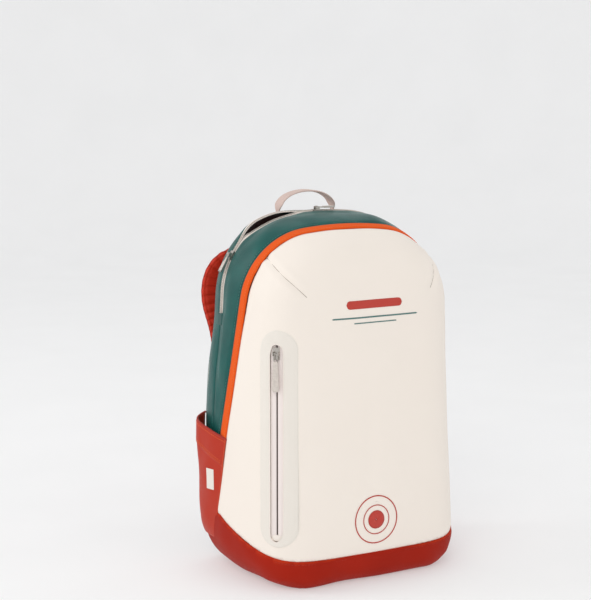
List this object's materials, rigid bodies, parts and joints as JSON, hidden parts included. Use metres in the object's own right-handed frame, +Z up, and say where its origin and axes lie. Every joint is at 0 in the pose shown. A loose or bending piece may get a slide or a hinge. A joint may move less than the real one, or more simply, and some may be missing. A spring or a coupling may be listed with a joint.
{
  "type": "racket backpack",
  "caption": "Upright two-tone sports backpack with an open racket mouth on one shoulder, side pockets, vertical front zip pocket, padded straps and webbing grab handle.",
  "frame": {"origin": "on the floor under the middle of the bag, in the mirror plane of the main form", "axes": "+Z up, -Y out of the front panel, +Y towards the wearer's back, +X to the right when facing the front"},
  "size_m": [0.3472, 0.2603, 0.5162],
  "materials": {
    "panel_cloth": "coated plain weave, soft sheen",
    "gusset_satin": "satin weave, bright along the folds",
    "band_webbing": "ribbed webbing band, stitched edges",
    "base_leather": "fine grained coated fabric",
    "strap_cloth": "quilted padded cloth",
    "back_mesh": "spacer mesh over foam",
    "zip_tape": "woven zip tape",
    "zip_teeth": "moulded coil",
    "trim_film": "bonded film with a fine embossed grid",
    "lining": "thin lining cloth",
    "stiffener": "plain board",
    "zip_metal": "satin nickel",
    "pull_tab": "moulded fabric tab",
    "handle_webbing": "flat woven webbing",
    "buckle": "moulded nylon"
  },
  "bodies": {
    "bag": {"back_pad_lower": "back_mesh", "back_pad_upper": "back_mesh", "back_panel": "back_mesh", "base_board": "stiffener", "base_boot": "base_leather", "front_band": "band_webbing", "front_flap_left": "zip_tape", "front_flap_right": "zip_tape", "front_gusset": "gusset_satin", "front_panel": "panel_cloth", "front_pocket_bag": "lining", "front_pocket_trim": "trim_film", "handle_anchor_left": "handle_webbing", "handle_anchor_right": "handle_webbing", "ladder_lock_left": "buckle", "ladder_lock_right": "buckle", "pocket_badge": "trim_film", "pocket_hem_left": "base_leather", "pocket_hem_right": "base_leather", "rear_binding": "back_mesh", "rear_gusset": "gusset_satin", "side_pocket_left": "base_leather", "side_pocket_right": "base_leather", "strap_anchor_left": "strap_cloth", "strap_anchor_right": "strap_cloth", "strap_pad_left": "strap_cloth", "strap_pad_right": "strap_cloth", "strap_webbing_left": "strap_cloth", "strap_webbing_right": "strap_cloth", "strap_yoke": "strap_cloth", "zip_garage_left": "zip_tape", "zip_garage_right": "zip_tape", "zip_tape_front": "zip_tape", "zip_tape_rear": "zip_tape", "zip_teeth_front": "zip_teeth", "zip_teeth_rear": "zip_teeth"},
    "main_slider_left": {"main_slider_left": "zip_metal"},
    "main_slider_right": {"main_slider_right": "zip_metal"},
    "main_pull_left": {"main_pull_left": "pull_tab"},
    "main_pull_right": {"main_pull_right": "pull_tab"},
    "front_slider": {"front_slider": "zip_metal"},
    "front_pull": {"front_pull_link": "zip_metal", "front_pull_tab": "pull_tab"},
    "grab_handle": {"grab_handle": "handle_webbing"}
  },
  "joints": [
    {"name": "main_slider_left_run", "type": "hinge", "parent": "bag", "child": "main_slider_left", "pos_m": [-0.04, 0.064, 0.3778], "axis": [0, 1, 0], "range_deg": [-30, 0]},
    {"name": "main_slider_right_run", "type": "hinge", "parent": "bag", "child": "main_slider_right", "pos_m": [0, 0.064, 0.01], "axis": [0, 1, 0], "range_deg": [0, 5.2]},
    {"name": "main_pull_left_swing", "type": "hinge", "parent": "main_slider_left", "child": "main_pull_left", "pos_m": [-0.13823, 0.064, 0.43566], "axis": [0, 1, 0], "range_deg": [0, 150]},
    {"name": "main_pull_right_swing", "type": "hinge", "parent": "main_slider_right", "child": "main_pull_right", "pos_m": [-0.00169, 0.064, 0.494], "axis": [0, 1, 0], "range_deg": [-150, 0]},
    {"name": "front_slider_run", "type": "slide", "parent": "bag", "child": "front_slider", "axis": [-0.0229, -0.0438, -0.9988], "range_m": [0, 0.23]},
    {"name": "front_pull_swing", "type": "hinge", "parent": "front_slider", "child": "front_pull", "pos_m": [-0.13427, -0.06561, 0.31838], "axis": [0.6904, -0.7233, 0.016], "range_deg": [-165, 0]},
    {"name": "grab_handle_flop", "type": "hinge", "parent": "bag", "child": "grab_handle", "pos_m": [0, 0.101, 0.4854], "axis": [1, 0, 0], "range_deg": [-75, 12], "stiffness_Nm_per_rad": 0.05}
  ]
}
